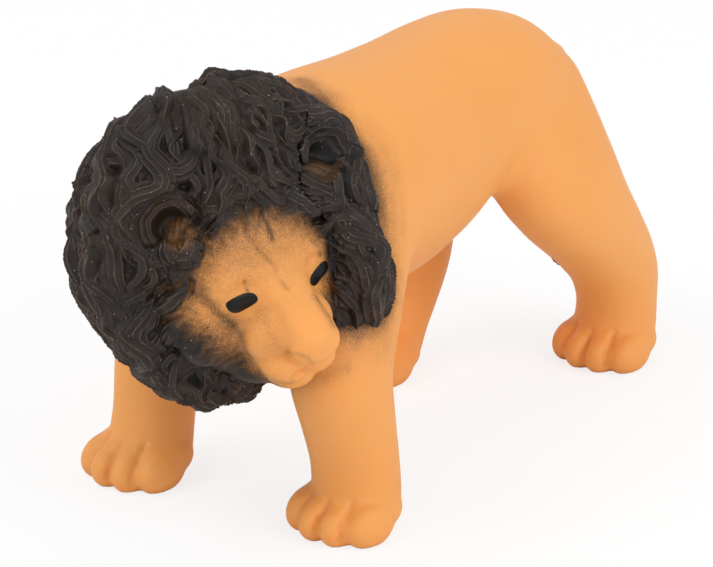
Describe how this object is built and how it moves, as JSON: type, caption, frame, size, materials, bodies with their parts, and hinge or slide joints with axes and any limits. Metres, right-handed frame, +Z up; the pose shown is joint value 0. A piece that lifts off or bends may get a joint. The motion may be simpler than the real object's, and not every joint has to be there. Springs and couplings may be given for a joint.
{
  "type": "toy lion figure",
  "caption": "Standing soft vinyl toy lion with its head turned left, a mane of sculpted locks sprayed dark, a tufted tail and a filling plug under the belly.",
  "frame": {"origin": "on the ground under the middle of the figure's bounding box", "axes": "+Z up, the body lies along Y with the head end towards -Y, the lion's left side is +X"},
  "size_m": [0.1166, 0.2718, 0.1515],
  "materials": {
    "orange_vinyl": "smooth matte soft vinyl",
    "sprayed_vinyl": "sculpted soft vinyl, sprayed black-brown over orange",
    "white_fibre": "soft loose fibre"
  },
  "bodies": {
    "root": {"body_skin": "orange_vinyl", "head_skin": "sprayed_vinyl", "tail": "orange_vinyl", "belly_plug": "orange_vinyl", "trunk_stuffing": "white_fibre", "front_left_leg_stuffing": "white_fibre", "front_right_leg_stuffing": "white_fibre", "hind_left_leg_stuffing": "white_fibre", "hind_right_leg_stuffing": "white_fibre", "head_stuffing": "white_fibre"}
  },
  "joints": []
}
